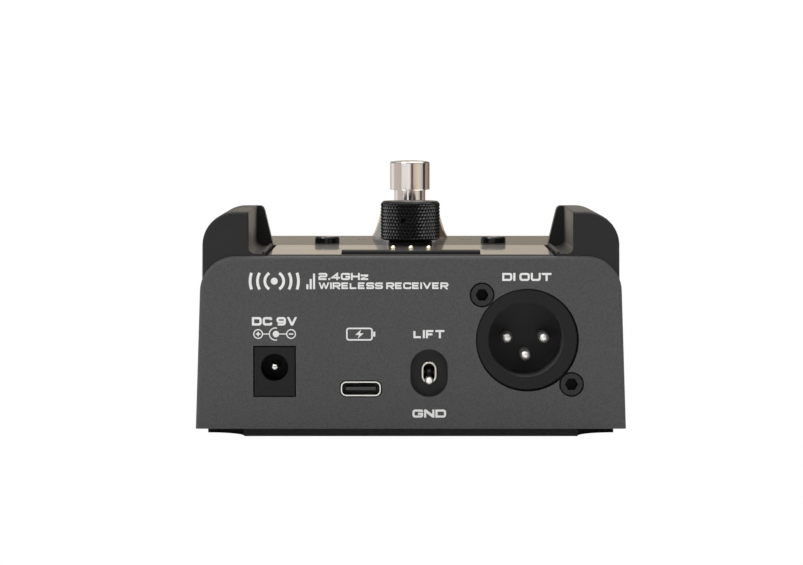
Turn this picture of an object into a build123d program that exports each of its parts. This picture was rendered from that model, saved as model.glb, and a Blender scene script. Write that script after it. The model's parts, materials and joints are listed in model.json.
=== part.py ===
"""Floor receiver and charging dock of a wireless guitar system, as an assembly.

Frame: +Z up, origin on the ground plane under the middle of the housing. The connector panel faces -Y,
the footswitch end faces +Y, +X is to the right when looking at the connector panel. Millimetres.
"""
from build123d import *

import math
import os

os.makedirs("parts", exist_ok=True)

# ---------------------------------------------------------------- driving dimensions
LENGTH = 118.0            # housing, connector panel to front
REAR = -LENGTH / 2        # connector panel plane
FRONT = LENGTH / 2
HALF_BOTTOM = 48.25       # half width of the housing at its rim
DRAFT = 1.9               # wall draft, degrees
BASE_T = 1.8              # rubber base thickness
Z_RIM = BASE_T            # lower rim of the housing
Z_TOP = 40.5              # top face of the housing
WALL = 2.2                # side walls
WALL_REAR = 2.4
WALL_TOP = 2.5
R_EDGE = 8.0              # rounding of the long top edges
R_CORNER = 9.0            # front corners in plan
PLATE_T = 1.2             # steel bottom plate
OVERLAY_T = 0.8           # dock and face plates
OVERLAY_HALF = 32.2       # dock plate
FACE_HALF = 37.2          # face plate
PLATE_TOP = 40.85         # both plates stand a little proud of the housing
PLATE_SPLIT = -7.0        # line where the dock plate meets the face plate
Z_CEIL = Z_TOP - WALL_TOP

BOSS = [(sx * 41.3, sy) for sx in (-1, 1) for sy in (-52.0, 51.2)]
BOSS_R = 3.2

GUARD_TOP = 50.4          # side guards
GUARD_INNER = 36.3
GUARD_REAR = -58.2
GUARD_STOP = -12.7
GUARD_FRONT = 17.0
LEDGE_Z = 41.0
LIP_Z = 41.5

KNOB_Y = -8.0             # control row
KNOB_R = 7.1
KNOB_Z0, KNOB_Z1 = 42.1, 51.45
BUTTON_X, BUTTON_Y = 20.15, 5.1
BUTTON_R = 3.02
BUTTON_HOLE = 3.1
BUTTON_TOP = 42.5

FOOT_Y = 40.0             # footswitch
CAP_R = 5.04
CAP_Z0, CAP_Z1 = 52.85, 60.35
PLUNGER_R = 3.95
SKIRT_TOP = 49.4

PIN_PITCH = 4.0           # charging contacts
PIN_Y = -54.4
BLOCK_TOP = 41.64
PIN_TOP = 42.7

DC_X, DC_Z = -30.52, 14.67
DC_HOLE_Z = 15.57
USB_X, USB_Z = -11.21, 10.77
TOG_X, TOG_Z = 4.08, 14.27
XLR_X, XLR_Z = 25.95, 21.8
XLR_INNER_X = XLR_X - 0.22
XLR_R = 11.25
XLR_BORE = 8.4
XLR_SCREW = 10.03
JACK_Y, JACK_Z = -8.0, 18.0
JACK_BORE = 3.2

BOARD_TOP = 9.1           # main circuit board, upper face
BOARD_T = 1.6
CTRL_Z0 = 28.4            # control board, lower face
CTRL_Z1 = CTRL_Z0 + BOARD_T

PARTS = {}


def box(x0, x1, y0, y1, z0, z1):
    return Pos((x0 + x1) / 2, (y0 + y1) / 2, (z0 + z1) / 2) * Box(abs(x1 - x0), abs(y1 - y0), abs(z1 - z0))


def cyl_z(x, y, r, z0, z1):
    return Pos(x, y, (z0 + z1) / 2) * Cylinder(r, abs(z1 - z0))


def cyl_y(x, z, r, y0, y1):
    return Pos(x, (y0 + y1) / 2, z) * Rot(90, 0, 0) * Cylinder(r, abs(y1 - y0))


def cyl_x(y, z, r, x0, x1):
    return Pos((x0 + x1) / 2, y, z) * Rot(0, 90, 0) * Cylinder(r, abs(x1 - x0))


def hex_z(x, y, af, z0, z1):
    return extrude(Pos(x, y, z0) * RegularPolygon(af / 2, 6, major_radius=False), z1 - z0)


def hex_y(x, z, af, y0, y1):
    s = extrude(RegularPolygon(af / 2, 6, major_radius=False), y1 - y0)
    return Pos(x, y1, z) * Rot(90, 0, 0) * s


def hex_x(y, z, af, x0, x1):
    s = extrude(RegularPolygon(af / 2, 6, major_radius=False), x1 - x0)
    return Pos(x0, y, z) * Rot(0, 90, 0) * s


def stadium_y(x, z, w, h, y0, y1):
    """A slot-shaped prism along Y: w along X, h along Z."""
    if w >= h:
        sk = SlotOverall(w, h)
    else:
        sk = Rot(0, 0, 90) * SlotOverall(h, w)
    return Pos(x, y1, z) * Rot(90, 0, 0) * extrude(sk, y1 - y0)


def rounded_y(x, z, w, h, r, y0, y1):
    """A prism along Y with a rounded rectangular section: w along X, h along Z."""
    return Pos(x, y1, z) * Rot(90, 0, 0) * extrude(RectangleRounded(w, h, r), y1 - y0)


def rounded_box(x0, x1, y0, y1, z0, z1, r):
    return extrude(Pos((x0 + x1) / 2, (y0 + y1) / 2, z0) * RectangleRounded(x1 - x0, y1 - y0, r), z1 - z0)


def turned(points, x, y):
    """A solid of revolution about a vertical axis at x, y from (radius, z) points."""
    face = make_face(Polyline(*[(r, 0, z) for r, z in points], close=True))
    return Pos(x, y, 0) * revolve(face, Axis.Z, 360)


def save(name, *solids):
    shape = solids[0] if len(solids) == 1 else Compound(children=list(solids))
    flat = list(shape.solids())
    shape = flat[0] if len(flat) == 1 else Compound(children=flat)
    PARTS[name] = shape
    export_step(shape, f"parts/{name}.step")


def tapered_block(half, y_rear, y_front, z0, z1, rc, r_top):
    sk = Pos(0, (y_front - 90) / 2, z0) * Rectangle(2 * half, y_front + 90)
    sk = fillet(sk.vertices().sort_by(Axis.Y)[-2:], rc)
    solid = extrude(sk, z1 - z0, taper=DRAFT)
    solid = solid - box(-80, 80, -120, y_rear, z0 - 5, z1 + 5)
    top = [e for e in solid.edges().filter_by(lambda e: abs(e.center().Z - z1) < 1e-3) if e.center().Y > y_rear + 0.01]
    return fillet(top, r_top)


# ---------------------------------------------------------------- housing
outer_plain = tapered_block(HALF_BOTTOM, REAR, FRONT, Z_RIM, Z_TOP, R_CORNER, R_EDGE)
rim = [e for e in outer_plain.edges() if abs(e.center().Y - REAR) < 1e-3 and e.center().Z > Z_RIM + 0.1]
outer = fillet(rim, 0.9)

cavity = tapered_block(HALF_BOTTOM - WALL, REAR + WALL_REAR, FRONT - WALL, Z_RIM, Z_CEIL, R_CORNER - WALL, R_EDGE - WALL)
shell = outer - cavity
for bx, by in BOSS:
    shell = shell + (cyl_z(bx, by, BOSS_R, Z_RIM + PLATE_T, Z_CEIL + 0.5) & outer)
# pillars for the control board
CTRL_POSTS = [(sx * 26.0, sy) for sx in (-1, 1) for sy in (-15.0, 25.0)]
for px, py in CTRL_POSTS:
    shell = shell + cyl_z(px, py, 2.6, CTRL_Z1, Z_CEIL + 0.5)
# rabbet for the bottom plate
rabbet = extrude(Pos(0, (REAR + 1.2 + FRONT - 1.2) / 2, Z_RIM - 0.01)
                 * RectangleRounded(2 * (HALF_BOTTOM - 1.2), LENGTH - 2.4, 2.0), PLATE_T + 0.01)
front_trim = extrude(Pos(0, (FRONT - 1.2 - 100) / 2, Z_RIM - 0.01)
                     * fillet((Rectangle(2 * (HALF_BOTTOM - 1.2), FRONT - 1.2 + 100)).vertices().sort_by(Axis.Y)[-2:], R_CORNER - 1.2), PLATE_T + 0.01)
shell = shell - (rabbet & front_trim)
for bx, by in BOSS:
    shell = shell - cyl_z(bx, by, 1.45, Z_RIM, 16.0)
for px, py in CTRL_POSTS:
    shell = shell - cyl_z(px, py, 1.0, CTRL_Z1 - 1, CTRL_Z1 + 6)

# connector panel
shell = shell - box(DC_X - 4.78, DC_X + 4.78, REAR - 1, REAR + 4, DC_Z - 5.75, DC_Z + 5.75)
shell = shell - rounded_y(USB_X, USB_Z, 9.5, 3.8, 1.5, REAR - 1, REAR + 4)
shell = shell - stadium_y(TOG_X, TOG_Z, 8.4, 10.75, REAR - 1, REAR + 4)
shell = shell - cyl_y(XLR_X + 0.12, XLR_Z - 0.12, XLR_R + 0.28, REAR - 1, REAR + 4)
for s in (-1, 1):
    sx, sz = XLR_X + s * XLR_SCREW, XLR_Z - s * XLR_SCREW
    shell = shell - cyl_y(sx, sz, 2.8, REAR - 1, REAR + 2.0)
    shell = shell - cyl_y(sx, sz, 1.6, REAR - 1, REAR + 4)
# output jack in the +X wall
shell = shell - cyl_x(JACK_Y, JACK_Z, 4.95, 40, 52)
# top face
dock_recess = box(-OVERLAY_HALF - 0.52, OVERLAY_HALF + 0.52, REAR + 0.95, PLATE_SPLIT + 0.05, Z_TOP - OVERLAY_T, Z_TOP + 1)
face_recess = rounded_box(-FACE_HALF - 0.1, FACE_HALF + 0.1, PLATE_SPLIT - 0.05, 49.6, Z_TOP - OVERLAY_T, Z_TOP + 1, 2.1)
guard_pocket = (box(-39.0, -OVERLAY_HALF - 0.5, GUARD_REAR, GUARD_STOP, Z_TOP - 0.6, Z_TOP + 1)
                + box(OVERLAY_HALF + 0.5, 39.0, GUARD_REAR, GUARD_STOP, Z_TOP - 0.6, Z_TOP + 1))
shell = shell - dock_recess - face_recess - guard_pocket
shell = shell - box(-15.7, 15.7, -57.35, -50.85, 37.6, Z_TOP + 1)
shell = shell - cyl_z(0, KNOB_Y, 3.6, Z_CEIL - 1, Z_TOP + 1)
for s in (-1, 1):
    shell = shell - cyl_z(s * BUTTON_X, BUTTON_Y, BUTTON_HOLE, Z_CEIL - 1, Z_TOP + 1)
shell = shell - cyl_z(0, FOOT_Y, 6.1, Z_CEIL - 1, Z_TOP + 1)
LENS = [(-11.5, 25.3), (13.9, 25.3)]
for lx, ly in LENS:
    shell = shell - box(lx - 1.45, lx + 1.45, ly - 0.6, ly + 0.6, Z_CEIL - 1, Z_TOP + 1)
LIGHTS = [(-7.5 + 5.0 * i, 12.0) for i in range(4)]
for lx, ly in LIGHTS:
    shell = shell - cyl_z(lx, ly, 0.85, Z_CEIL - 1, Z_TOP + 1)
GUARD_SCREWS = [(sx * 40.4, sy) for sx in (-1, 1) for sy in (-45.6, -8.6)]
for gx, gy in GUARD_SCREWS:
    shell = shell - cyl_z(gx, gy, 1.5, 30, Z_TOP + 1) - cyl_z(gx, gy, 2.4, 30, Z_CEIL - 0.35)
LEAD_X, LEAD_Y = 40.4, -29.0
for s in (-1, 1):
    shell = shell - cyl_z(s * LEAD_X, LEAD_Y, 1.2, 30, Z_TOP + 1)
save("enclosure", shell)

# ---------------------------------------------------------------- base
plate = extrude(Pos(0, 0, Z_RIM) * RectangleRounded(2 * (HALF_BOTTOM - 1.35), LENGTH - 2.7, 1.9), PLATE_T)
trim = extrude(Pos(0, (FRONT - 1.35 - 100) / 2, Z_RIM)
               * fillet((Rectangle(2 * (HALF_BOTTOM - 1.35), FRONT - 1.35 + 100)).vertices().sort_by(Axis.Y)[-2:], R_CORNER - 1.35), PLATE_T)
plate = plate & trim
for bx, by in BOSS:
    plate = plate - cyl_z(bx, by, 1.6, 0, 5)
    plate = plate - turned([(0, Z_RIM - 0.01), (2.8, Z_RIM - 0.01), (1.6, Z_RIM + 1.19), (0, Z_RIM + 1.19)], bx, by)
STAND = [(sx * 37.0, sy) for sx in (-1, 1) for sy in (-33.0, 22.0)]
save("bottom_plate", plate)

mat = Pos(0, 0, 0) * extrude(Rectangle(92.0, 115.2), BASE_T)
for sx in (-1, 1):
    for sy in (-1, 1):
        mat = mat - cyl_z(sx * 46.0, sy * 57.6, 8.6, -1, 3)
for i in range(-4, 5):
    mat = mat - box(-34, 34, i * 10.5 - 0.8, i * 10.5 + 0.8, -0.01, 0.5)
save("rubber_base", mat)

screws = []
for bx, by in BOSS:
    s = turned([(0, Z_RIM + 0.02), (2.62, Z_RIM + 0.02), (2.62, Z_RIM + 0.1), (1.4, Z_RIM + 1.18), (1.4, 13.0), (0, 13.4)], bx, by)
    s = s - box(bx - 1.7, bx + 1.7, by - 0.28, by + 0.28, Z_RIM - 0.1, Z_RIM + 0.8) - box(bx - 0.28, bx + 0.28, by - 1.7, by + 1.7, Z_RIM - 0.1, Z_RIM + 0.8)
    screws.append(s)
save("bottom_screws", *screws)

# ---------------------------------------------------------------- side guards
body_for_guard = outer_plain - guard_pocket + box(-FACE_HALF, FACE_HALF, PLATE_SPLIT, 40.0, 38.0, PLATE_TOP)


def guard(side):
    r, xo, low = 7.5, 46.65, 32.8
    cx = xo - r

    def section(y, top, inner):
        """Closed outline across the guard: inner points bottom to top, then the rounded outer shoulder."""
        cz = top - r
        mid = (cx + r * math.cos(math.radians(45)), cz + r * math.sin(math.radians(45)))
        pts = inner + [(cx, top)]
        lines = [Line((x0, y, z0), (x1, y, z1)) for (x0, z0), (x1, z1) in zip(pts[:-1], pts[1:])]
        lines.append(ThreePointArc((cx, y, top), (mid[0], y, mid[1]), (xo, y, cz)))
        lines.append(Line((xo, y, cz), (xo + 0.08, y, low)))
        lines.append(Line((xo + 0.08, y, low), (pts[0][0], y, low)))
        lines.append(Line((pts[0][0], y, low), (pts[0][0], y, pts[0][1])))
        return make_face(lines)

    dock_inner = [(32.7, 40.0), (32.7, LIP_Z), (33.3, LIP_Z), (33.3, LEDGE_Z), (34.9, LEDGE_Z), (35.45, LEDGE_Z + 0.12),
                  (35.93, LEDGE_Z + 0.42), (36.2, LEDGE_Z + 0.86), (GUARD_INNER, LEDGE_Z + 1.4), (GUARD_INNER, GUARD_TOP - 0.3), (GUARD_INNER + 0.3, GUARD_TOP)]
    dock = extrude(section(GUARD_STOP, GUARD_TOP, dock_inner), GUARD_STOP - GUARD_REAR, dir=(0, -1, 0))
    try:
        rim_edges = [e for e in dock.edges() if abs(e.center().Y - GUARD_REAR) < 1e-3 and e.center().Z > 41.5 and e.center().X > GUARD_INNER - 0.01]
        dock = chamfer(rim_edges, 0.35)
    except ValueError:
        pass
    tail = []
    start = GUARD_STOP + 4.5
    tail.append(section(GUARD_STOP, GUARD_TOP, [(32.6, 39.8), (32.6, 40.95), (34.6, GUARD_TOP - 1.1), (34.9, GUARD_TOP - 0.4), (35.5, GUARD_TOP)]))
    straight = extrude(tail[0], start - GUARD_STOP, dir=(0, 1, 0))
    tail = []
    for k in range(9):
        f = k / 8
        y = start + (GUARD_FRONT - start) * f
        top = 41.0 + (GUARD_TOP - 41.0) * (1 + math.cos(math.pi * f)) / 2
        q = (top - PLATE_TOP) / (GUARD_TOP - PLATE_TOP)
        x = 32.6 + 2.5 * f ** 1.3
        tail.append(section(y, top, [(x, 39.8), (x, 40.95 - 0.2 * (1 - q)), (x + 2.0 * q, top - 1.1 * q), (x + 2.3 * q, top - 0.4 * q), (x + 2.3 * q + 0.6, top)]))
    g = dock + straight + loft(tail)
    g = g - body_for_guard
    # hollow for the aerial, and the screw holes from below
    g = g - box(38.4, 42.7, -41.0, -17.5, 34.0, 47.6)
    for gy in (-45.6, -8.6):
        g = g - cyl_z(40.4, gy, 1.05, 34, 46.0)
    g = sorted(g.solids(), key=lambda q: -q.volume)[0]
    return g if side > 0 else mirror(g, Plane.YZ)


save("right_guard", guard(1))
save("left_guard", guard(-1))

gs = []
for gx, gy in GUARD_SCREWS:
    top = Z_CEIL - 0.35
    gs.append(turned([(0, top - 1.8), (1.6, top - 1.8), (2.1, top - 1.3), (2.1, top), (1.0, top), (1.0, 44.6), (0, 45.2)], gx, gy))
save("guard_screws", *gs)

aerials = []
for s in (-1, 1):
    a = box(s * 40.0, s * 40.8, -40.2, -18.4, 41.3, 47.0)
    aerials.append(a)
save("aerials", *aerials)

# ---------------------------------------------------------------- dock plate, face plate, charging contacts
dock_plate = box(-OVERLAY_HALF + 0.3, OVERLAY_HALF - 0.3, REAR + 1.05, PLATE_SPLIT - 0.08, Z_TOP - OVERLAY_T, PLATE_TOP) - cyl_z(0, KNOB_Y, 3.6, 30, 45)
dock_plate = dock_plate - box(-15.65, 15.65, -57.3, -50.9, 35, 45)
save("dock_plate", dock_plate)

face_plate = rounded_box(-FACE_HALF, FACE_HALF, PLATE_SPLIT + 0.02, 49.5, Z_TOP - OVERLAY_T, PLATE_TOP, 2.0)
face_plate = face_plate - cyl_z(0, KNOB_Y, 3.6, 30, 45) - cyl_z(0, FOOT_Y, 6.15, 30, 45)
for s in (-1, 1):
    face_plate = face_plate - cyl_z(s * BUTTON_X, BUTTON_Y, BUTTON_HOLE, 30, 45)
for lx, ly in LENS:
    face_plate = face_plate - box(lx - 1.45, lx + 1.45, ly - 0.6, ly + 0.6, 30, 45)
for lx, ly in LIGHTS:
    face_plate = face_plate - cyl_z(lx, ly, 0.85, 30, 45)
save("face_plate", face_plate)

block = box(-15.55, 15.55, -57.2, -51.0, 37.65, BLOCK_TOP)
block = chamfer(block.edges().filter_by(Axis.X).sort_by(Axis.Z)[-2:], 0.25)
block = block + box(-17.4, 17.4, -56.4, -49.6, 35.7, 37.5) + box(-15.0, 15.0, -56.3, -51.2, 37.4, 38.0)
for i in (-1, 0, 1):
    block = block - cyl_z(i * PIN_PITCH, PIN_Y, 0.9, 35, 45)
save("contact_block", block)
save("contact_board", box(-17.4, 17.4, -56.4, -46.0, 34.7, 35.7))
save("contact_barrels", *[
    turned([(0, 35.7), (0.88, 35.7), (0.88, BLOCK_TOP), (0.66, BLOCK_TOP), (0.66, 36.3), (0, 36.3)], i * PIN_PITCH, PIN_Y) for i in (-1, 0, 1)])
for i, n in ((-1, "left"), (0, "middle"), (1, "right")):
    pts = [(0, 39.0), (0.62, 39.0), (0.62, PIN_TOP - 0.62)]
    for k in range(1, 9):
        t = math.radians(90 * k / 8)
        pts.append((0.62 * math.cos(t) if k < 8 else 0, PIN_TOP - 0.62 + 0.62 * math.sin(t)))
    save(f"contact_pin_{n}", turned(pts, i * PIN_PITCH, PIN_Y))

# ribbon from the contact board to the control board
rib_pts = [(-46.0, 35.0), (-42.0, 35.0), (-34.0, 31.0), (-17.0, 30.35)]
t = 0.3
rib = make_face(Polyline(*[(0, y, z) for y, z in rib_pts], *[(0, y, z + t) for y, z in reversed(rib_pts)], close=True))
save("contact_ribbon", Pos(-4, 0, 0) * extrude(rib, 8, dir=(1, 0, 0)))

# ---------------------------------------------------------------- level control
pot = box(-4.9, 4.9, KNOB_Y - 5.5, KNOB_Y + 5.5, CTRL_Z1, 37.0) + cyl_z(0, KNOB_Y, 3.45, 36.9, 43.4)
pot = pot - cyl_z(0, KNOB_Y, 3.04, 32.0, 44)
save("level_pot_body", pot)
save("level_pot_shaft", cyl_z(0, KNOB_Y, 3.0, 33.0, 50.0))
save("level_pot_nut", turned([(3.5, PLATE_TOP), (5.25, PLATE_TOP), (5.25, PLATE_TOP + 0.85), (5.05, PLATE_TOP + 1.05), (3.95, PLATE_TOP + 1.05), (3.95, 43.1),
                              (3.5, 43.1)], 0, KNOB_Y))
knob = turned([(4.3, KNOB_Z0), (6.5, KNOB_Z0), (KNOB_R, KNOB_Z0 + 0.6), (KNOB_R, KNOB_Z1 - 0.6), (6.4, KNOB_Z1), (0, KNOB_Z1),
               (0, 50.2), (3.02, 50.2), (3.02, 44.6), (4.3, 44.6)], 0, KNOB_Y)
SCREW_A = math.radians(-90 - 14.5)
screw_hole = Pos(0, KNOB_Y, 46.9) * Rot(0, 0, math.degrees(SCREW_A)) * Rot(0, 90, 0) * Cylinder(0.56, 12, align=(Align.CENTER, Align.CENTER, Align.MIN))
knob = knob - screw_hole
save("level_knob", knob)
grub = Pos(0, KNOB_Y, 46.9) * Rot(0, 0, math.degrees(SCREW_A)) * Rot(0, 90, 0) * (
    Pos(0, 0, 3.05) * Cylinder(0.54, 2.6, align=(Align.CENTER, Align.CENTER, Align.MIN))
    - Pos(0, 0, 4.6) * extrude(RegularPolygon(0.3, 6, major_radius=False), 2))
save("knob_set_screw", grub)

# ---------------------------------------------------------------- push buttons
for s, n in ((-1, "left"), (1, "right")):
    x = s * BUTTON_X
    r = BUTTON_R
    cap = turned([(0, 33.3), (1.4, 33.3), (1.4, 36.9), (3.9, 36.9), (3.9, 37.85), (r, 37.85), (r, BUTTON_TOP - 0.45), (r - 0.14, BUTTON_TOP - 0.14),
                  (r - 0.45, BUTTON_TOP), (0, BUTTON_TOP + 0.05)], x, BUTTON_Y)
    save(f"{n}_button", cap)
save("tactile_switches", *[box(s * BUTTON_X - 3, s * BUTTON_X + 3, BUTTON_Y - 3, BUTTON_Y + 3, CTRL_Z1, 34.2)
                           - cyl_z(s * BUTTON_X, BUTTON_Y, 1.8, 32.6, 35) for s in (-1, 1)])

save("indicator_lenses", *([box(lx - 1.4, lx + 1.4, ly - 0.55, ly + 0.55, 31.2, PLATE_TOP + 0.04) for lx, ly in LENS]
                           + [cyl_z(lx, ly, 0.8, 31.2, PLATE_TOP + 0.04) for lx, ly in LIGHTS]))

# ---------------------------------------------------------------- footswitch
skirt = turned([(6.0, PLATE_TOP), (9.55, PLATE_TOP), (9.55, 41.2), (9.25, 41.7), (8.82, 42.6), (8.48, 43.55), (8.12, 44.6), (7.83, 45.6), (7.6, 46.5),
                (7.42, 47.4), (7.28, 48.3), (7.2, 49.0), (6.85, SKIRT_TOP), (4.35, SKIRT_TOP), (4.35, 45.0), (6.0, 45.0)], 0, FOOT_Y)
save("footswitch_skirt", skirt)
fb = box(-8.7, 8.7, FOOT_Y - 8.7, FOOT_Y + 8.7, 19.5, 33.0)
fb = chamfer(fb.edges().filter_by(Axis.Z), 1.0)
fb = fb + cyl_z(0, FOOT_Y, 7.6, 32.9, 34.5) + cyl_z(0, FOOT_Y, 5.9, 34.4, 44.6)
fb = fb - cyl_z(0, FOOT_Y, 4.02, 20.9, 45)
for i in (-1, 0, 1):
    fb = fb + box(i * 5 - 0.4, i * 5 + 0.4, FOOT_Y - 1.2, FOOT_Y + 1.2, 15.5, 19.6)
save("footswitch_body", fb)
save("footswitch_nut", hex_z(0, FOOT_Y, 14.0, 35.4, 37.3) - cyl_z(0, FOOT_Y, 5.95, 30, 45))
save("footswitch_washer", cyl_z(0, FOOT_Y, 8.2, 37.35, 37.95) - cyl_z(0, FOOT_Y, 5.95, 30, 45))
save("footswitch_plunger", cyl_z(0, FOOT_Y, PLUNGER_R, 30.0, CAP_Z0))
cap_pts = [(0, CAP_Z0), (CAP_R - 0.12, CAP_Z0), (CAP_R, CAP_Z0 + 0.12), (CAP_R, CAP_Z1 - 0.75)]
for k in range(1, 7):
    a = math.radians(90 * k / 6)
    cap_pts.append((CAP_R - 0.45 + 0.45 * math.cos(a), CAP_Z1 - 0.75 + 0.45 * math.sin(a)))
cap_pts += [(3.2, CAP_Z1 - 0.12), (1.6, CAP_Z1 - 0.03), (0, CAP_Z1)]
save("footswitch_cap", turned(cap_pts, 0, FOOT_Y))
coil_wire = 0.5
path = Helix(pitch=1.45, height=8.5, radius=3.1, center=(0, FOOT_Y, 21.17))
start = path @ 0
tan = path % 0
coil = sweep(Plane(origin=start, z_dir=tan) * Circle(coil_wire / 2), path=path)
save("footswitch_spring", coil)

# ---------------------------------------------------------------- ground-lift toggle
tb = box(TOG_X - 4.6, TOG_X + 4.6, REAR + 2.55, -46.0, BOARD_TOP, 19.8)
tb = tb - box(TOG_X - 1.3, TOG_X + 1.3, REAR + 2.0, -52.9, TOG_Z - 2.05, TOG_Z + 2.05)
save("toggle_body", tb)
frame_ring = stadium_y(TOG_X, TOG_Z, 3.46, 5.0, -57.2, REAR + 2.55)
frame_ring = fillet(frame_ring.faces().sort_by(Axis.Y)[0].edges(), 0.2) - stadium_y(TOG_X, TOG_Z, 2.6, 4.14, -59, -55)
save("toggle_frame", frame_ring)
PIV_Y = -54.9
LEVER_REST = 27.0
lever = (Pos(0, 0, 0) * Sphere(1.05)) + (Rot(0, 90, 0) * Cylinder(0.5, 2.3)) + (Pos(0, -1.8, 0) * Rot(90, 0, 0) * Cylinder(0.5, 3.6)) + (Pos(0, -3.73, 0) * Sphere(0.98))
lever = Pos(TOG_X, PIV_Y, TOG_Z) * Rot(LEVER_REST, 0, 0) * lever
save("toggle_lever", lever)

# ---------------------------------------------------------------- balanced output socket
xs = cyl_y(XLR_X, XLR_Z, XLR_R, REAR, -41.0)
xs = chamfer(xs.edges().filter_by(GeomType.CIRCLE).sort_by(Axis.Y)[0], 0.2)
xs = xs + box(XLR_X - 12.0, XLR_X + 12.0, REAR + 2.5, -53.0, BOARD_TOP, XLR_Z + 12.7)
xs = xs + (box(XLR_X - 11.25, XLR_X + 11.25, -53.1, -41.0, BOARD_TOP, XLR_Z))
xs = xs - cyl_y(XLR_INNER_X, XLR_Z, XLR_BORE, REAR - 2, -39.0)
for s in (-1, 1):
    xs = xs - cyl_y(XLR_X + s * XLR_SCREW, XLR_Z - s * XLR_SCREW, 1.5, REAR, -50)
save("xlr_shell", xs)
XPINS = [(-4.17, 0.2), (4.17, 0.2), (0.0, -3.73)]
ins = cyl_y(XLR_INNER_X, XLR_Z, XLR_BORE - 0.01, -45.5, -41.0)
for px, pz in XPINS:
    ins = ins - cyl_y(XLR_INNER_X + px, XLR_Z + pz, 0.92, -50, -35)
save("xlr_insert", ins)
pins = []
for px, pz in XPINS:
    pin = turned([(0, 38.6), (0.9, 38.6), (0.9, 45.75), (1.19, 45.75), (1.19, 55.2), (1.1, 55.66), (0.84, 56.05), (0.45, 56.32), (0, 56.39)], 0, 0)
    pin = Pos(XLR_INNER_X + px, 0, XLR_Z + pz) * Rot(90, 0, 0) * Rot(0, 0, 33) * pin
    pin = pin + box(XLR_INNER_X + px - 0.45, XLR_INNER_X + px + 0.45, -39.5, -38.6, BOARD_TOP, XLR_Z + pz)
    pins.append(pin)
save("xlr_pins", *pins)
xsc = []
for s in (-1, 1):
    sx, sz = XLR_X + s * XLR_SCREW, XLR_Z - s * XLR_SCREW
    sc = cyl_y(sx, sz, 2.45, REAR + 0.05, REAR + 1.95) + cyl_y(sx, sz, 1.4, REAR + 1.9, -51.5)
    sc = sc - hex_y(sx, sz, 2.55, REAR - 1, REAR + 1.75)
    xsc.append(sc)
save("xlr_screws", *xsc)

# ---------------------------------------------------------------- power socket
dj = box(DC_X - 4.5, DC_X + 4.5, REAR + 0.1, -45.0, BOARD_TOP + 0.05, DC_Z + 5.45)
dj = dj - cyl_y(DC_X, DC_HOLE_Z, 3.08, REAR - 1, -48.5)
dj = dj - cyl_y(DC_X, DC_HOLE_Z, 0.82, REAR - 1, -44.0)
save("dc_jack_body", dj)
dp = cyl_y(DC_X, DC_HOLE_Z, 0.99, REAR + 1.9, -48.8) + cyl_y(DC_X, DC_HOLE_Z, 0.8, -49.0, -44.4) + (Pos(DC_X, REAR + 1.9, DC_HOLE_Z) * Sphere(0.99))
save("dc_jack_pin", dp)

# ---------------------------------------------------------------- charge socket
us = rounded_y(USB_X, USB_Z, 8.94, 3.26, 1.22, REAR + 0.15, -51.6) - rounded_y(USB_X, USB_Z, 8.42, 2.74, 0.96, REAR - 1, -50)
save("usb_shell", us)
ut = rounded_y(USB_X, USB_Z, 8.38, 2.7, 0.94, -52.7, -51.65) + box(USB_X - 3.35, USB_X + 3.35, REAR + 1.0, -52.6, USB_Z - 0.35, USB_Z + 0.35)
save("usb_tongue", ut)

# ---------------------------------------------------------------- instrument output jack
jb = box(18.0, 44.7, JACK_Y - 8.2, JACK_Y + 8.2, BOARD_TOP + 0.05, 26.6)
jb = jb - box(19.5, 44.0, JACK_Y - 3.6, JACK_Y + 3.6, JACK_Z - 3.6, JACK_Z + 3.6) - box(19.5, 40.0, JACK_Y - 6.9, JACK_Y + 6.9, JACK_Z + 1.5, 25.2)
jb = jb - cyl_x(JACK_Y, JACK_Z, 4.75, 43.9, 46)
save("output_jack_body", jb)
save("output_jack_bushing", (cyl_x(JACK_Y, JACK_Z, 4.74, 43.95, 50.5) - cyl_x(JACK_Y, JACK_Z, JACK_BORE, 40, 55)))
save("output_jack_washer", cyl_x(JACK_Y, JACK_Z, 7.4, 48.0, 48.4) - cyl_x(JACK_Y, JACK_Z, 4.78, 40, 55))
nut = hex_x(JACK_Y, JACK_Z, 13.6, 48.42, 50.15) - cyl_x(JACK_Y, JACK_Z, 4.78, 40, 55)
save("output_jack_nut", nut)
tip = make_face(Polyline((20.0, 0, 24.6), (34.0, 0, 24.0), (36.5, 0, 21.6), (37.4, 0, 22.0), (34.6, 0, 24.7), (20.0, 0, 25.1), close=True))
tip = Pos(0, JACK_Y + 1.6, 0) * extrude(tip, 3.2, dir=(0, -1, 0))
save("output_jack_contact", tip)

# ---------------------------------------------------------------- circuit boards
board = box(-42.6, 42.6, REAR + 3.0, 29.0, BOARD_TOP - BOARD_T, BOARD_TOP)
for bx, by in BOSS:
    board = board - cyl_z(bx, by, BOSS_R + 0.5, 0, 20)
for sx, sy in STAND:
    board = board - cyl_z(sx, sy, 1.4, 0, 20)
save("main_board", board)
fast = []
for sx, sy in STAND:
    post = hex_z(sx, sy, 4.6, Z_RIM + PLATE_T, BOARD_TOP - BOARD_T) - cyl_z(sx, sy, 1.3, 4.4, 12)
    fast.append(post)
    fast.append(cyl_z(sx, sy, 1.25, 4.6, BOARD_TOP + 0.1) + turned([(0, BOARD_TOP), (2.3, BOARD_TOP), (2.3, BOARD_TOP + 0.9), (1.7, BOARD_TOP + 1.5), (0, BOARD_TOP + 1.5)], sx, sy))
save("board_standoffs", *fast[0::2])
save("board_screws", *fast[1::2])
ctrl = box(-30.0, 30.0, -19.0, 29.0, CTRL_Z0, CTRL_Z1)
for px, py in CTRL_POSTS:
    ctrl = ctrl - cyl_z(px, py, 1.2, 20, 35)
save("control_board", ctrl)
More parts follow.
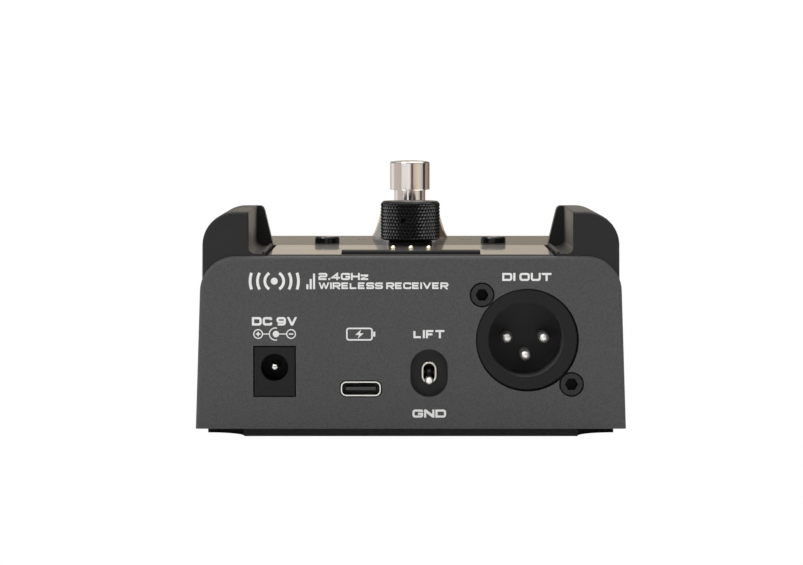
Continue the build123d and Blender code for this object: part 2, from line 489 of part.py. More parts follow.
save("control_board_screws", *[cyl_z(px, py, 0.95, CTRL_Z0 - 0.1, CTRL_Z1 + 5) + turned([(0, CTRL_Z0 - 1.5), (1.6, CTRL_Z0 - 1.5), (2.1, CTRL_Z0 - 1.0), (2.1, CTRL_Z0), (0, CTRL_Z0)], px, py) for px, py in CTRL_POSTS])
link = box(-20.0, 5.4, 23.5, 28.5, BOARD_TOP, 17.7)
save("board_link_socket", link)
save("board_link_header", box(-20.0, 5.4, 23.5, 28.5, 17.75, CTRL_Z0))
save("radio_module", box(-31.0, -15.0, -17.0, 3.0, BOARD_TOP, BOARD_TOP + 0.8) + box(-30.0, -16.0, -15.0, -1.0, BOARD_TOP + 0.7, BOARD_TOP + 3.0))
save("board_parts", *[cyl_z(x, y, 3.1, BOARD_TOP, BOARD_TOP + 7.7) for x, y in ((-18.5, -43.0), (-18.5, -35.5), (-2.0, -36.5), (4.6, -36.5))],
     box(-10.0, 2.0, -22.0, -10.0, BOARD_TOP, BOARD_TOP + 1.3), box(5.0, 12.0, -14.0, -7.0, BOARD_TOP, BOARD_TOP + 1.1),
     box(-8.0, -1.0, 6.0, 13.0, BOARD_TOP, BOARD_TOP + 1.1), box(6.0, 12.0, 4.0, 14.0, BOARD_TOP, BOARD_TOP + 1.3))

# aerial leads, clipped inside the housing
leads = []
for s in (-1, 1):
    pts = [(s * LEAD_X, LEAD_Y, 44.0), (s * LEAD_X, LEAD_Y, 30.0)]
    if s < 0:
        pts += [(-38.0, -27.0, 20.0), (-26.0, -20.0, 15.4), (-23.0, -12.0, 14.6), (-23.0, -8.0, 13.1)]
        radii = [5, 6, 5, 2.2]
    else:
        pts += [(37.0, -28.0, 20.0), (20.0, -28.0, 15.0), (-6.0, -27.0, 14.6), (-18.0, -20.0, 14.6), (-20.0, -11.0, 13.1)]
        radii = [5, 6, 8, 6, 3]
    pts[0] = (s * (LEAD_X), LEAD_Y, 41.3)
    wire = FilletPolyline(*pts, radius=radii)
    prof = Plane(origin=wire @ 0, z_dir=wire % 0) * Circle(0.55)
    leads.append(sweep(prof, path=wire))
save("aerial_leads", *leads)

total = Compound(children=[Compound(children=list(p.solids())) for p in PARTS.values()])
bb = total.bounding_box()
print("nodes", len(PARTS), "box", bb.min, bb.max)
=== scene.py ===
"""Wireless guitar receiver and charging dock: materials, print, knurling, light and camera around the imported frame."""
import json
import math

import bmesh
import bpy
from mathutils import Matrix, Vector


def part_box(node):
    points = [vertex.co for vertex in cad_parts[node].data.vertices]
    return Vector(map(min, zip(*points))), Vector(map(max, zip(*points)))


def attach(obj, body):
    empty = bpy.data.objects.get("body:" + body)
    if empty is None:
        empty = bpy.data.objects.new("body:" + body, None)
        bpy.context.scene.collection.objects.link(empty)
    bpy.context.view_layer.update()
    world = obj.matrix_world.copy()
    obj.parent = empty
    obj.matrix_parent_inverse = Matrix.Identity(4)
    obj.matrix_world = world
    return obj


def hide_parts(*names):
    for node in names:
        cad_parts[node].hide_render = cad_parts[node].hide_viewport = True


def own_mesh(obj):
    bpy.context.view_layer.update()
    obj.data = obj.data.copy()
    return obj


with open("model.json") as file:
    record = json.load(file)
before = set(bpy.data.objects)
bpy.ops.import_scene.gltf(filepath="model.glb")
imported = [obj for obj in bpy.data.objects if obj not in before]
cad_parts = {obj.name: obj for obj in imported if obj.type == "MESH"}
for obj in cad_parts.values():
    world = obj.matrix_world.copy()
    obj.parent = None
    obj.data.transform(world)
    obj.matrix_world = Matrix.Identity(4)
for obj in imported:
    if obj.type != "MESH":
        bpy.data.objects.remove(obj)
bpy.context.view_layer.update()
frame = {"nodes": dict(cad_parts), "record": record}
nodes = frame["nodes"]
scene = bpy.context.scene
MM = 0.001
IMG_W, IMG_H = 803, 565

# ------------------------------------------------------------------ materials
MATS = {}


def material(name, color, rough=0.5, metallic=0.0, spec=0.5, ior=1.5, grain=None, grain_bump=0.0, grain_color=0.0, rough_var=0.06,
             blotch=0.06, blotch_scale=25.0, coat=0.0, coat_rough=0.1, streak=None, dark_edge=0.0, voronoi=False, alpha=1.0, tint=None):
    """A Principled material with fine grain, slow blotches and roughness variation, all in object space (metres)."""
    m = bpy.data.materials.new(name)
    m.use_nodes = True
    nt = m.node_tree
    b = nt.nodes["Principled BSDF"]
    b.inputs["Metallic"].default_value = metallic
    b.inputs["IOR"].default_value = ior
    b.inputs["Specular IOR Level"].default_value = spec
    b.inputs["Coat Weight"].default_value = coat
    b.inputs["Coat Roughness"].default_value = coat_rough
    if tint is not None:
        b.inputs["Specular Tint"].default_value = (*tint, 1.0)
    tc = nt.nodes.new("ShaderNodeTexCoord")
    mp = nt.nodes.new("ShaderNodeMapping")
    nt.links.new(tc.outputs["Object"], mp.inputs["Vector"])
    if streak:
        mp.inputs["Scale"].default_value = streak
    gs = grain or 2500.0
    if voronoi:
        g = nt.nodes.new("ShaderNodeTexVoronoi")
        g.inputs["Scale"].default_value = gs
        gout = g.outputs["Distance"]
    else:
        g = nt.nodes.new("ShaderNodeTexNoise")
        g.inputs["Scale"].default_value = gs
        g.inputs["Detail"].default_value = 3.0
        g.inputs["Roughness"].default_value = 0.6
        gout = g.outputs["Fac"]
    nt.links.new(mp.outputs["Vector"], g.inputs["Vector"])
    n2 = nt.nodes.new("ShaderNodeTexNoise")
    n2.inputs["Scale"].default_value = blotch_scale
    n2.inputs["Detail"].default_value = 4.0
    nt.links.new(tc.outputs["Object"], n2.inputs["Vector"])
    # colour
    c = Vector(color)
    lo = [max(0.0, v * (1 - blotch)) for v in c]
    hi = [min(1.0, v * (1 + blotch)) for v in c]
    ramp = nt.nodes.new("ShaderNodeValToRGB")
    ramp.color_ramp.elements[0].position = 0.3
    ramp.color_ramp.elements[1].position = 0.7
    ramp.color_ramp.elements[0].color = (*lo, 1)
    ramp.color_ramp.elements[1].color = (*hi, 1)
    nt.links.new(n2.outputs["Fac"], ramp.inputs["Fac"])
    col = ramp.outputs["Color"]
    if grain_color > 0:
        mul = nt.nodes.new("ShaderNodeMix")
        mul.data_type = "RGBA"
        mul.blend_type = "MULTIPLY"
        mul.inputs["Factor"].default_value = 1.0
        r2 = nt.nodes.new("ShaderNodeMapRange")
        r2.inputs["From Min"].default_value = 0.3
        r2.inputs["From Max"].default_value = 0.7
        r2.inputs["To Min"].default_value = 1 - grain_color
        r2.inputs["To Max"].default_value = 1 + grain_color
        nt.links.new(gout, r2.inputs["Value"])
        cmb = nt.nodes.new("ShaderNodeCombineColor")
        for k in ("Red", "Green", "Blue"):
            nt.links.new(r2.outputs["Result"], cmb.inputs[k])
        nt.links.new(col, mul.inputs[6])
        nt.links.new(cmb.outputs["Color"], mul.inputs[7])
        col = mul.outputs[2]
    nt.links.new(col, b.inputs["Base Color"])
    mr = nt.nodes.new("ShaderNodeMapRange")
    mr.inputs["From Min"].default_value = 0.3
    mr.inputs["From Max"].default_value = 0.7
    mr.inputs["To Min"].default_value = max(0.02, rough - rough_var)
    mr.inputs["To Max"].default_value = min(1.0, rough + rough_var)
    nt.links.new(n2.outputs["Fac"], mr.inputs["Value"])
    nt.links.new(mr.outputs["Result"], b.inputs["Roughness"])
    if grain_bump > 0:
        bp = nt.nodes.new("ShaderNodeBump")
        bp.inputs["Strength"].default_value = grain_bump
        bp.inputs["Distance"].default_value = 0.00005
        nt.links.new(gout, bp.inputs["Height"])
        nt.links.new(bp.outputs["Normal"], b.inputs["Normal"])
    MATS[name] = m
    return m


material("housing_paint", (0.061, 0.061, 0.062), rough=0.55, spec=0.22, grain=3400, grain_bump=0.55, grain_color=0.22, blotch=0.03, blotch_scale=18)
material("steel_plate", (0.16, 0.16, 0.165), rough=0.45, metallic=0.9, grain=900, streak=(1, 12, 1), grain_bump=0.15, grain_color=0.1)
material("base_rubber", (0.020, 0.020, 0.020), rough=0.85, spec=0.3, grain=1800, grain_bump=0.6, grain_color=0.15)
material("black_screw", (0.030, 0.030, 0.030), rough=0.42, spec=0.08, grain=2600, grain_bump=0.12, grain_color=0.1)
material("guard_plastic", (0.0165, 0.0157, 0.0157), rough=0.40, spec=0.20, grain=3000, grain_bump=0.22, grain_color=0.08)
material("plate_coating", (0.050, 0.047, 0.042), rough=0.40, rough_var=0.03, spec=0.45, coat=0.53, coat_rough=0.04, grain=2200, grain_bump=0.05, grain_color=0.08)
material("face_coating", (0.012, 0.011, 0.010), rough=0.50, rough_var=0.03, spec=0.08, coat=0.31, coat_rough=0.04, grain=2200, grain_bump=0.03, grain_color=0.05)
material("contact_plastic", (0.016, 0.0155, 0.0155), rough=0.55, spec=0.10, grain=2600, grain_bump=0.15)
material("gold_plate", (0.90, 0.85, 0.66), rough=0.22, metallic=1.0, grain=3000, grain_bump=0.03)
material("pcb", (0.012, 0.085, 0.035), rough=0.35, grain=700, grain_bump=0.08, grain_color=0.15)
material("flat_cable", (0.72, 0.72, 0.69), rough=0.5, grain=1500, streak=(14, 1, 1), grain_bump=0.3, grain_color=0.08)
material("component_black", (0.013, 0.013, 0.013), rough=0.5, spec=0.25, grain=2000, grain_bump=0.15)
material("tinned_steel", (0.66, 0.65, 0.62), rough=0.24, metallic=1.0, grain=1800, grain_bump=0.05, grain_color=0.05)
material("knob_black", (0.008, 0.008, 0.008), rough=0.27, spec=0.30, grain=2500, grain_bump=0.03)
material("button_black", (0.008, 0.008, 0.008), rough=0.16, spec=0.5, grain=2500, grain_bump=0.02)
material("lens_smoke", (0.050, 0.045, 0.040), rough=0.15, spec=0.5, grain=2500, grain_bump=0.02)
material("chrome", (0.675, 0.642, 0.625), rough=0.09, metallic=1.0, grain=1500, streak=(1, 1, 8), grain_bump=0.004, rough_var=0.02, blotch=0.02)
material("socket_plastic", (0.013, 0.0127, 0.0127), rough=0.4, spec=0.12, grain=3000, grain_bump=0.1)
material("spring_steel", (0.55, 0.55, 0.55), rough=0.28, metallic=1.0, grain=2500, grain_bump=0.05)
material("wire_insulation", (0.02, 0.02, 0.02), rough=0.4, grain=2500, grain_bump=0.05)
material("aerial_copper", (0.72, 0.40, 0.24), rough=0.3, metallic=1.0, grain=2500, grain_bump=0.05)
material("print_white", (0.72, 0.72, 0.71), rough=0.5, spec=0.3, grain=3500, grain_bump=0.1, grain_color=0.06, blotch=0.03)

material("skirt_chrome", (0.74, 0.71, 0.68), rough=0.11, metallic=1.0, grain=1500, streak=(1, 1, 8), grain_bump=0.004, rough_var=0.02, blotch=0.02)
material("toggle_ring", (0.58, 0.56, 0.51), rough=0.30, metallic=1.0, grain=2600, grain_bump=0.08, blotch=0.03)
lever_mat = material("toggle_lever_metal", (0.86, 0.83, 0.80), rough=0.30, metallic=1.0, grain=2600, grain_bump=0.03, blotch=0.02)

# the lever is bright metal only within about a millimetre of its ball end; further along, its stem and pivot are
# coloured near-black and are not metallic
lv_lo, lv_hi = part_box("toggle_lever")
lnt = lever_mat.node_tree
lbs = lnt.nodes["Principled BSDF"]
ltc = lnt.nodes.new("ShaderNodeTexCoord")
lsub = lnt.nodes.new("ShaderNodeVectorMath")
lsub.operation = "DISTANCE"
lsub.inputs[1].default_value = ((lv_lo[0] + lv_hi[0]) / 2, lv_lo[1] + 0.00098, lv_lo[2] + 0.00098)
lnt.links.new(ltc.outputs["Object"], lsub.inputs[0])
lmr = lnt.nodes.new("ShaderNodeMapRange")
lmr.inputs["From Min"].default_value = 0.00101
lmr.inputs["From Max"].default_value = 0.00112
lmr.inputs["To Min"].default_value = 1.0
lmr.inputs["To Max"].default_value = 0.0
lnt.links.new(lsub.outputs["Value"], lmr.inputs["Value"])
lmix = lnt.nodes.new("ShaderNodeMix")
lmix.data_type = "RGBA"
lmix.inputs[6].default_value = (0.02, 0.02, 0.02, 1)
lold = lbs.inputs["Base Color"].links[0].from_socket
lnt.links.new(lmr.outputs["Result"], lmix.inputs["Factor"])
lnt.links.new(lold, lmix.inputs[7])
lnt.links.new(lmix.outputs[2], lbs.inputs["Base Color"])
lnt.links.new(lmr.outputs["Result"], lbs.inputs["Metallic"])



def masked_copy(base, name, color, centre, r_in, axis_free=True, y_from=None, rough=None):
    """A copy of a material whose colour changes inside a radius about a line along Y, or beyond a depth."""
    m = MATS[base].copy()
    m.name = name
    n = m.node_tree
    bs = n.nodes["Principled BSDF"]
    tcn = n.nodes.new("ShaderNodeTexCoord")
    sp = n.nodes.new("ShaderNodeSeparateXYZ")
    n.links.new(tcn.outputs["Object"], sp.inputs[0])
    fac = None
    if r_in is not None:
        cb = n.nodes.new("ShaderNodeCombineXYZ")
        n.links.new(sp.outputs["X"], cb.inputs["X"])
        n.links.new(sp.outputs["Z"], cb.inputs["Z"])
        ds = n.nodes.new("ShaderNodeVectorMath")
        ds.operation = "DISTANCE"
        ds.inputs[1].default_value = (centre[0], 0.0, centre[1])
        n.links.new(cb.outputs[0], ds.inputs[0])
        mr1 = n.nodes.new("ShaderNodeMapRange")
        mr1.inputs["From Min"].default_value = r_in
        mr1.inputs["From Max"].default_value = r_in + 0.00004
        mr1.inputs["To Min"].default_value = 1.0
        mr1.inputs["To Max"].default_value = 0.0
        n.links.new(ds.outputs["Value"], mr1.inputs["Value"])
        fac = mr1.outputs["Result"]
    if y_from is not None:
        mr2 = n.nodes.new("ShaderNodeMapRange")
        mr2.inputs["From Min"].default_value = y_from
        mr2.inputs["From Max"].default_value = y_from + 0.00005
        n.links.new(sp.outputs["Y"], mr2.inputs["Value"])
        if fac is None:
            fac = mr2.outputs["Result"]
        else:
            ml = n.nodes.new("ShaderNodeMath")
            ml.operation = "MULTIPLY"
            n.links.new(fac, ml.inputs[0])
            n.links.new(mr2.outputs["Result"], ml.inputs[1])
            fac = ml.outputs[0]
    mx = n.nodes.new("ShaderNodeMix")
    mx.data_type = "RGBA"
    old = bs.inputs["Base Color"].links[0].from_socket
    n.links.new(fac, mx.inputs["Factor"])
    n.links.new(old, mx.inputs[6])
    mx.inputs[7].default_value = (*color, 1)
    n.links.new(mx.outputs[2], bs.inputs["Base Color"])
    MATS[name] = m
    return m


rear_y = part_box("enclosure")[0][1]
ins_lo, ins_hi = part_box("xlr_insert")
well = ((ins_lo[0] + ins_hi[0]) / 2, (ins_lo[2] + ins_hi[2]) / 2)
dcp_lo, dcp_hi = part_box("dc_jack_pin")
dc_axis = ((dcp_lo[0] + dcp_hi[0]) / 2, (dcp_lo[2] + dcp_hi[2]) / 2)
# xlr_shell: beyond 0.6 mm depth the inner wall of the well is painted a lighter grey, painted light standing in for
# light reaching down the well
masked_copy("socket_plastic", "xlr_shell_painted_light", (0.100, 0.098, 0.098), well, (ins_hi[0] - ins_lo[0]) / 2 + 0.00004, y_from=rear_y + 0.0006)
masked_copy("socket_plastic", "dc_socket_plastic", (0.040, 0.039, 0.039), dc_axis, 0.0018, y_from=rear_y + 0.009)
# xlr_screws: everything deeper than 0.4 mm, the hex recess, is painted near-black, painted shade in the recess
masked_copy("black_screw", "screw_recess_painted_shade", (0.001, 0.001, 0.001), None, None, y_from=rear_y + 0.0004)
material("tongue_plastic", (0.032, 0.031, 0.031), rough=0.5, grain=2000, grain_bump=0.1)

material("xlr_insert_plastic", (0.062, 0.060, 0.062), rough=0.6, spec=0.1, grain=2600, grain_bump=0.1)
material("xlr_pin_plate", (0.80, 0.79, 0.76), rough=0.36, metallic=1.0, grain=2600, grain_bump=0.04, blotch=0.03)

slot_of = {s["node"]: s["material_slot"] for s in frame["record"]["subparts"]}
finer = {"xlr_shell": "xlr_shell_painted_light", "dc_jack_body": "dc_socket_plastic", "xlr_screws": "screw_recess_painted_shade", "usb_tongue": "tongue_plastic",
         "xlr_insert": "xlr_insert_plastic", "xlr_pins": "xlr_pin_plate",
         "footswitch_skirt": "skirt_chrome", "toggle_frame": "toggle_ring", "toggle_lever": "toggle_lever_metal"}
for name, obj in nodes.items():
    mat = MATS[finer.get(name, slot_of[name])]
    if not obj.material_slots:
        obj.data.materials.append(mat)
    for sl in obj.material_slots:
        sl.material = mat

# ------------------------------------------------------------------ positions read from the frame
enc_lo, enc_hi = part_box("enclosure")
REAR = enc_lo[1] / MM                       # connector panel plane, mm


def mesh_object(name, verts, faces, mat, body, smooth=False):
    me = bpy.data.meshes.new(name)
    me.from_pydata([Vector(v) * MM for v in verts], [], faces)
    me.validate()
    me.update()
    me.materials.append(MATS[mat])
    if smooth:
        me.polygons.foreach_set("use_smooth", [True] * len(me.polygons))
    o = bpy.data.objects.new(name, me)
    scene.collection.objects.link(o)
    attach(o, body)
    return o


# ------------------------------------------------------------------ print: stroke letters as thin raised solids
def P(x, y, r=0.0, ax=0.0, ay=0.0):
    return (x, y, r, ax, ay)


R = 0.30
GLYPHS = {
    "D": (1.25, [([P(0, 0), P(1, 0, R), P(1, 1, R), P(0, 1)], True)]),
    "C": (1.2, [([P(1, .70), P(1, 1, R), P(0, 1, R), P(0, 0, R), P(1, 0, R), P(1, .30)], False)]),
    "9": (1.2, [([P(0.02, 0), P(1, 0, R), P(1, 1, R), P(0, 1, R), P(0, .42, R), P(1, .42, 0, -1.08)], False)]),
    "V": (1.3, [([P(0, 1, 0, -1, 1), P(.5, 0, 0, -.9, -1), P(.5, 0, 0, .9, -1), P(1, 1, 0, 1, 1), P(1, 1, 0, -1, 1), P(.5, 0, 0, 0, 1.7), P(0, 1, 0, 1, 1)], "fill")]),
    "L": (1.1, [([P(0, 1), P(0, 0), P(1, 0)], False)]),
    "I": (0.0, [([P(0, 1, 0, 0, 1), P(0, 0, 0, 0, -1)], False)]),
    "F": (1.1, [([P(1, 1), P(0, 1), P(0, 0, 0, 0, -1)], False), ([P(0, .46, 0, 1), P(.86, .46)], False)]),
    "T": (1.2, [([P(0, 1, 0, -1), P(1, 1, 0, 1)], False), ([P(.5, 1, 0, 0, -1), P(.5, 0, 0, 0, -1)], False)]),
    "G": (1.25, [([P(1, .74), P(1, 1, R), P(0, 1, R), P(0, 0, R), P(1, 0, R), P(1, .46), P(.52, .46)], False)]),
    "N": (1.2, [([P(0, 1, 0, 0, 1), P(0, 0, 0, 0, -1)], False), ([P(1, 1, 0, 0, 1), P(1, 0, 0, 0, -1)], False),
          ([P(0, 1, 0, 1, 1), P(0, 1, 0, 1, -2.2), P(1, 0, 0, -1, -1), P(1, 0, 0, -1, 2.2)], "fill")]),
    "O": (1.3, [([P(0, 0, R), P(1, 0, R), P(1, 1, R), P(0, 1, R)], True)]),
    "U": (1.25, [([P(0, 1, 0, 0, 1), P(0, 0, R), P(1, 0, R), P(1, 1, 0, 0, 1)], False)]),
    "W": (1.75, [([P(0, 1, 0, -1, 1), P(.27, 0, 0, -.9, -1), P(.27, 0, 0, .9, -1), P(.5, 1, 0, 0, -1.6), P(.73, 0, 0, -.9, -1), P(.73, 0, 0, .9, -1), P(1, 1, 0, 1, 1),
                 P(1, 1, 0, -1, 1), P(.73, 0, 0, 0, 1.7), P(.5, 1, 0, .7, .6), P(.5, 1, 0, -.7, .6), P(.27, 0, 0, 0, 1.7), P(0, 1, 0, 1, 1)], "fill")]),
    "R": (1.2, [([P(0, 0, 0, 0, -1), P(0, 1), P(1, 1, R), P(1, .42, R), P(0, .42, 0, 1.08)], False), ([P(.55, .42, 0, 0, -1), P(1, 0, 0, 0, -1)], False)]),
    "E": (1.1, [([P(1, 1), P(0, 1), P(0, 0), P(1, 0)], False), ([P(0, .5, 0, 1), P(.9, .5)], False)]),
    "S": (1.2, [([P(1, .78), P(1, 1, R), P(0, 1, R), P(0, .5, R * .8), P(1, .5, R * .8), P(1, 0, R), P(0, 0, R), P(0, .22)], False)]),
    "H": (1.2, [([P(0, 1, 0, 0, 1), P(0, 0, 0, 0, -1)], False), ([P(1, 1, 0, 0, 1), P(1, 0, 0, 0, -1)], False), ([P(0, .5, 0, 1), P(1, .5, 0, -1)], False)]),
    "z": (0.95, [([P(0, .7, 0, -1), P(1, .7, 0, 1)], False), ([P(0, 0, 0, -1), P(1, 0, 0, 1)], False), ([P(1, .7, 0, 1, -1), P(1, .7, 0, -1.6, -1), P(0, 0, 0, -1, 1), P(0, 0, 0, 1.6, 1)], "fill")]),
    "2": (1.2, [([P(0, .78), P(0, 1, R), P(1, 1, R), P(1, .5, R * .8), P(0, .5, R * .8), P(0, 0), P(1, 0)], False)]),
    "4": (1.2, [([P(.74, .27, 0, 0, 1.08), P(.74, 1), P(0, .27), P(1, .27, 0, 1)], False), ([P(.74, .27, 0, 0, -1), P(.74, 0, 0, 0, -1)], False)]),
    ".": (0.0, [([P(0, 0, 0, 0, 1), P(0, 0, 0, 0, -1)], False)]),
    " ": (0.0, []),
}


def rounded(points, closed):
    """Corner points (x, y, radius) to a polyline with arcs."""
    out, n = [], len(points)
    for i, (x, y, r) in enumerate(points):
        if r <= 0 or (not closed and i in (0, n - 1)):
            out.append((x, y))
            continue
        p0, p1, p2 = Vector(points[i - 1][:2]), Vector((x, y)), Vector(points[(i + 1) % n][:2])
        a, b = (p0 - p1), (p2 - p1)
        rr = min(r, a.length * 0.5, b.length * 0.5)
        a.normalize(), b.normalize()
        steps = 5
        for k in range(steps + 1):
            t = k / steps
            q = (p1 + a * rr) * (1 - t) ** 2 + p1 * 2 * t * (1 - t) + (p1 + b * rr) * t ** 2
            out.append((q.x, q.y))
    return out


def stroke_loops(points, closed, t):
    """Outline loops of a line of thickness t."""
    pts = [Vector(p) for p in points]
    n = len(pts)
    left, right = [], []
    for i in range(n):
        if closed:
            d0, d1 = pts[i] - pts[i - 1], pts[(i + 1) % n] - pts[i]
        else:
            d0 = pts[i] - pts[i - 1] if i > 0 else pts[1] - pts[0]
            d1 = pts[i + 1] - pts[i] if i < n - 1 else pts[i] - pts[i - 1]
        d0, d1 = d0.normalized(), d1.normalized()
        n0, n1 = Vector((-d0.y, d0.x)), Vector((-d1.y, d1.x))
        mid = (n0 + n1)
        if mid.length < 1e-6:
            mid = n0
        mid.normalize()
        k = 1.0 / max(mid.dot(n0), 0.45)
        left.append(pts[i] + mid * k * t / 2)
        right.append(pts[i] - mid * k * t / 2)
    if closed:
        return [left, right]
    return [left + right[::-1]]


def print_object(name, loops_list, plane_y, rise=0.03):
    """Loops in (X, Z) mm become thin solids standing out of a plane that faces -Y, one closed solid per stroke."""
    bm = bmesh.new()
    for loops in loops_list:
        cu = bpy.data.curves.new(name, "CURVE")
        cu.dimensions = "2D"
        cu.fill_mode = "BOTH"
        cu.extrude = rise * MM / 2
        for lp in loops:
            s = cu.splines.new("POLY")
            s.points.add(len(lp) - 1)
            for p, q in zip(s.points, lp):
                p.co = (q[0] * MM, q[1] * MM, 0, 1)
            s.use_cyclic_u = True
        tmp = bpy.data.objects.new(name + "_tmp", cu)
        scene.collection.objects.link(tmp)
        bpy.context.view_layer.update()
        me = bpy.data.meshes.new_from_object(tmp.evaluated_get(bpy.context.evaluated_depsgraph_get()))
        bpy.data.objects.remove(tmp)
        part = bmesh.new()
        part.from_mesh(me)
        bmesh.ops.remove_doubles(part, verts=part.verts, dist=1e-7)
        bmesh.ops.recalc_face_normals(part, faces=part.faces)
        part.to_mesh(me)
        part.free()
        bm.from_mesh(me)
        bpy.data.meshes.remove(me)
    me = bpy.data.meshes.new(name)
    bm.to_mesh(me)
    bm.free()
    me.transform(Matrix.Translation((0, (plane_y - rise / 2) * MM, 0)) @ Matrix.Rotation(math.radians(90), 4, "X"))
    me.materials.append(MATS["print_white"])
    o = bpy.data.objects.new(name, me)
    scene.collection.objects.link(o)
    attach(o, "housing")
    return o


def text_loops(text, x0, x1, z0, z1, t, gap=0.20):
    h = z1 - z0 - t
    units, gaps = 0.0, 0
    for i, ch in enumerate(text):
        units += GLYPHS[ch][0]
    n = len(text)
    fixed = n * t + (n - 1) * gap * (z1 - z0) * 0.62
    sx = (x1 - x0 - fixed) / units
    x = x0 + t / 2
    out = []
    for ch in text:
        w, strokes = GLYPHS[ch]
        for pts, closed in strokes:
            real = []
            for px, py, r, ax, ay in pts:
                real.append((x + px * w * sx + ax * t / 2, z0 + t / 2 + py * h + ay * t / 2, r * h))
            if closed == "fill":
                out.append([[(qx, qy) for qx, qy, _ in real]])
            else:
                out.append(stroke_loops(rounded(real, closed), closed, t))
        x += w * sx + t + gap * (z1 - z0) * 0.62
    return out


def circle(cx, cz, r, n=40):
    return [(cx + r * math.cos(2 * math.pi * k / n), cz + r * math.sin(2 * math.pi * k / n)) for k in range(n)]


def arc(cx, cz, r, a0, a1, n=18):
    return [(cx + r * math.cos(math.radians(a0 + (a1 - a0) * k / n)), cz + r * math.sin(math.radians(a0 + (a1 - a0) * k / n))) for k in range(n + 1)]


PX = 4.472                                  # print layout grid, units per mm on the panel


def gx(u):
    return (u - 401.5) / PX - 2.1


def gz(v):
    return 74.04 - (v - 106.0) / PX


def label(name, text, u0, u1, v0, v1, t):
    print_object(name, text_loops(text, gx(u0), gx(u1), gz(v1), gz(v0), t), REAR)


label("print_power", "DC 9V", 251.8, 297.0, 316.9, 325.4, 0.50)
label("print_lift", "LIFT", 413.4, 444.4, 329.9, 338.1, 0.46)
label("print_ground", "GND", 412.5, 446.1, 409.7, 417.8, 0.47)
label("print_output", "DI OUT", 502.2, 551.4, 272.7, 280.7, 0.47)
label("print_band", "2.4GHz", 318.5, 368.2, 272.7, 279.8, 0.41)
label("print_name", "WIRELESS RECEIVER", 318.5, 448.3, 282.2, 288.8, 0.37)

loops = []
cz = gz(333.9)
for u in (258.05, 291.0):
    loops.append([circle(gx(u), cz, 1.10), circle(gx(u), cz, 0.86)])
loops.append([circle(gx(275.9), cz, 0.72)])
loops.append(stroke_loops(arc(gx(275.4), cz, 1.36, 75, 285), False, 0.24))
loops.append(stroke_loops([(gx(258.05) + 1.10, cz), (gx(275.4) - 1.48, cz)], False, 0.24))
loops.append(stroke_loops([(gx(275.9) + 0.72, cz), (gx(291.0) - 1.10, cz)], False, 0.24))
cxp = gx(258.05)
loops.append([[(cxp - .5, cz + .15), (cxp - .15, cz + .15), (cxp - .15, cz + .5), (cxp + .15, cz + .5), (cxp + .15, cz + .15), (cxp + .5, cz + .15),
               (cxp + .5, cz - .15), (cxp + .15, cz - .15), (cxp + .15, cz - .5), (cxp - .15, cz - .5), (cxp - .15, cz - .15), (cxp - .5, cz - .15)]])
cxm = gx(291.0)
loops.append([[(cxm - .5, cz + .14), (cxm + .5, cz + .14), (cxm + .5, cz - .14), (cxm - .5, cz - .14)]])
print_object("print_polarity", loops, REAR)

# charge mark: a battery outline with a bolt
loops = []
bx0, bx1, bz0, bz1 = gx(346.2), gx(372.6), gz(340.4), gz(327.6)
rb = rounded([(bx0 + .15, bz0 + .15, .5), (bx1 - .15, bz0 + .15, .5), (bx1 - .15, bz1 - .15, .5), (bx0 + .15, bz1 - .15, .5)], True)
loops.append(stroke_loops(rb, True, 0.34))
bm_ = (bz0 + bz1) / 2
loops.append([[(bx1 + .12, bm_ - .55), (bx1 + .6, bm_ - .55), (bx1 + .6, bm_ + .55), (bx1 + .12, bm_ + .55)]])
bc = (bx0 + bx1) / 2
loops.append([[(bc + .35, bm_ + 1.0), (bc - .95, bm_ - .18), (bc - .12, bm_ - .18), (bc - .35, bm_ - 1.0), (bc + .95, bm_ + .18), (bc + .12, bm_ + .18)]])
print_object("print_charge", loops, REAR)

# radio mark: a dot with waves to both sides, and three signal bars
loops = []
rx, rz = gx(274.3), gz(280.9)
loops.append([circle(rx, rz, 0.78)])
for k, r in enumerate((2.1, 3.75, 5.4)):
    half = (58, 29.5, 20.0)[k]
    for base in (0, 180):
        loops.append(stroke_loops(arc(rx, rz, r, base - half, base + half), False, 0.62))
print_object("print_radio", loops, REAR)
loops = []
for k in range(3):
    x0 = gx(306.4) + k * 0.74
    loops.append([[(x0, gz(289.0)), (x0 + .46, gz(289.0)), (x0 + .46, gz(289.0) + 1.1 + k * 1.2), (x0, gz(289.0) + 1.1 + k * 1.2)]])
print_object("print_bars", loops, REAR)

# ------------------------------------------------------------------ knurled knob
klo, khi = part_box("level_knob")
kx, ky = (klo[0] + khi[0]) / 2 / MM, (klo[1] + khi[1]) / 2 / MM
kz0, kz1 = klo[2] / MM, khi[2] / MM
KR = (khi[0] - klo[0]) / 2 / MM
NA = 50
COLS = NA * 10
HOLE_A = math.radians(-90 - 14.5)
HOLE_Z = kz0 + 4.8
rows = []


def flat_row(r, z):
    rows.append(("flat", r, z))


